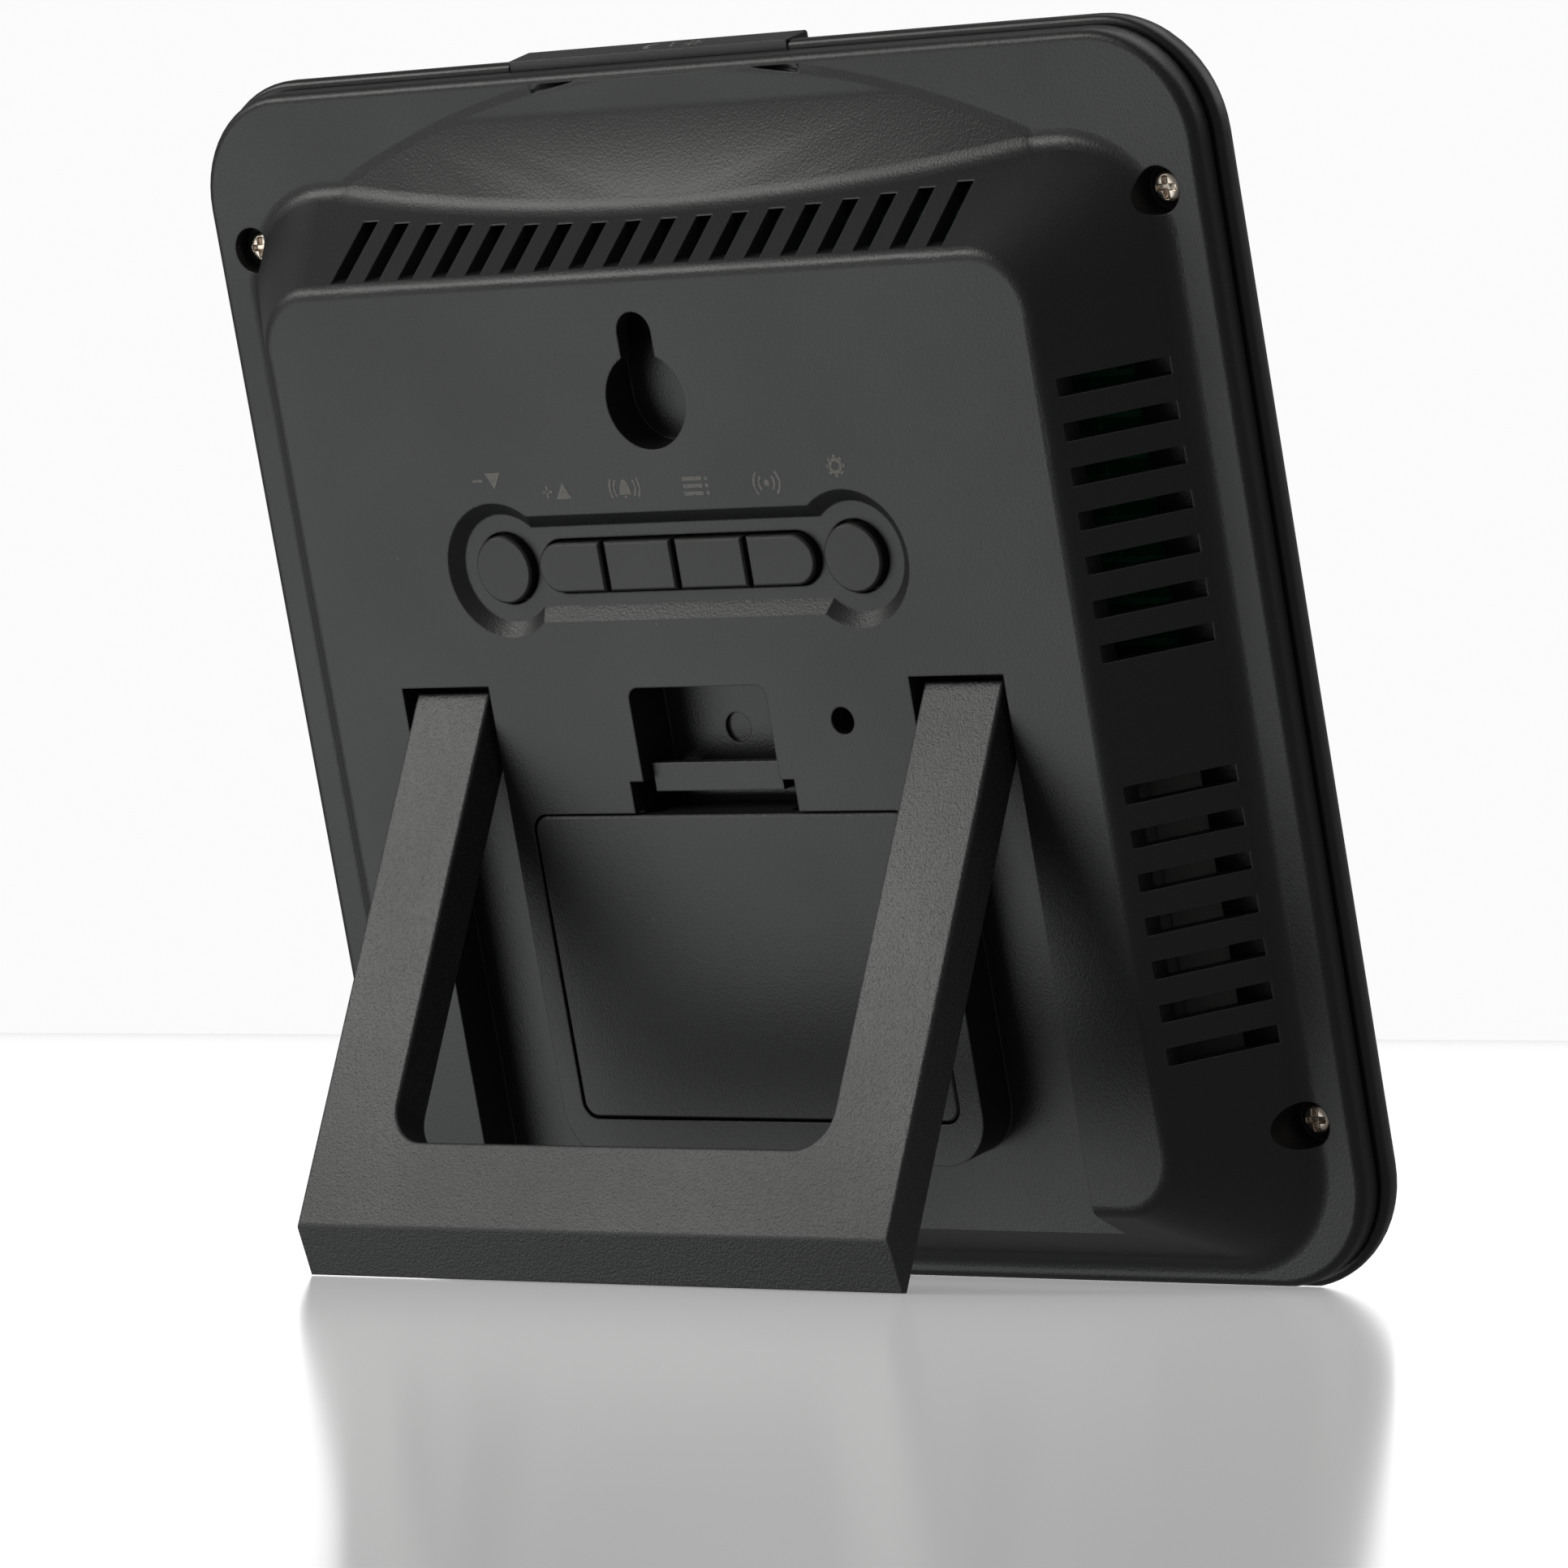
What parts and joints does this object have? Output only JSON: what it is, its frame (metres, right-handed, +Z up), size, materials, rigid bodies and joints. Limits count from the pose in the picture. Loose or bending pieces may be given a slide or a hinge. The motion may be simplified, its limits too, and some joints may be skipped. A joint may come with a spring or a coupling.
{
  "type": "desk clock with folding stand",
  "caption": "Square leaning desk clock and weather display, seen from its vented back, with a folding U-shaped stand, rear keys, a battery door and a snooze bar.",
  "frame": {"origin": "on the floor, under the middle of the object's box as it stands", "axes": "+Z up; the display faces -Y and the stand is towards +Y"},
  "size_m": [0.1546, 0.064, 0.1506],
  "materials": {
    "case_plastic": "fine moulded grain",
    "stand_plastic": "coarser moulded grain",
    "key_plastic": "smooth satin",
    "lens": "polished",
    "glass": "display sandwich",
    "white_plastic": "plain white",
    "board": "green solder mask",
    "chip": "black moulding",
    "wire": "red insulation",
    "steel": "zinc plated",
    "nickel": "warm nickel plate",
    "cell": "plain printed sleeve",
    "spring": "nickel plate"
  },
  "bodies": {
    "case": {"rear_cover": "case_plastic", "front_bezel": "case_plastic", "display_lens": "lens", "display_glass": "glass", "light_guide": "white_plastic", "backlight_lamps": "white_plastic", "display_frame": "white_plastic", "main_board": "board", "controller_chip": "chip", "receiver_module": "board", "antenna": "wire", "beeper": "chip", "climate_sensor": "white_plastic", "key_board": "board", "key_switches": "steel", "board_header": "chip", "power_socket": "chip", "key_board_screws": "steel", "board_screws": "steel", "snooze_switch": "chip", "case_screws": "nickel", "lower_cell": "cell", "middle_cell": "cell", "upper_cell": "cell", "contact_springs": "spring", "contact_plates": "spring"},
    "stand": {"stand": "stand_plastic"},
    "battery_door": {"battery_door": "case_plastic"},
    "down_button": {"down_button": "key_plastic"},
    "up_button": {"up_button": "key_plastic"},
    "alarm_button": {"alarm_button": "key_plastic"},
    "memory_button": {"memory_button": "key_plastic"},
    "channel_button": {"channel_button": "key_plastic"},
    "set_button": {"set_button": "key_plastic"},
    "snooze_bar": {"snooze_bar": "key_plastic"}
  },
  "joints": [
    {"name": "stand_hinge", "type": "hinge", "parent": "case", "child": "stand", "pos_m": [0, 0.00682, 0.06946], "axis": [-1, 0, 0], "range_deg": [0, 34.9]},
    {"name": "battery_door_hinge", "type": "hinge", "parent": "case", "child": "battery_door", "pos_m": [0, -0.00417, 0.01918], "axis": [-1, 0, 0], "range_deg": [0, 45]},
    {"name": "down_press", "type": "slide", "parent": "case", "child": "down_button", "axis": [0, -0.9601, 0.2795], "range_m": [0, 0.0008], "stiffness_N_per_m": 800, "springref_m": -0.0005},
    {"name": "up_press", "type": "slide", "parent": "case", "child": "up_button", "axis": [0, -0.9601, 0.2795], "range_m": [0, 0.0008], "stiffness_N_per_m": 800, "springref_m": -0.0005},
    {"name": "alarm_press", "type": "slide", "parent": "case", "child": "alarm_button", "axis": [0, -0.9601, 0.2795], "range_m": [0, 0.0008], "stiffness_N_per_m": 800, "springref_m": -0.0005},
    {"name": "memory_press", "type": "slide", "parent": "case", "child": "memory_button", "axis": [0, -0.9601, 0.2795], "range_m": [0, 0.0008], "stiffness_N_per_m": 800, "springref_m": -0.0005},
    {"name": "channel_press", "type": "slide", "parent": "case", "child": "channel_button", "axis": [0, -0.9601, 0.2795], "range_m": [0, 0.0008], "stiffness_N_per_m": 800, "springref_m": -0.0005},
    {"name": "set_press", "type": "slide", "parent": "case", "child": "set_button", "axis": [0, -0.9601, 0.2795], "range_m": [0, 0.0008], "stiffness_N_per_m": 800, "springref_m": -0.0005},
    {"name": "snooze_press", "type": "slide", "parent": "case", "child": "snooze_bar", "axis": [0, -0.2795, -0.9601], "range_m": [0, 0.0006], "stiffness_N_per_m": 800, "springref_m": -0.0005}
  ]
}
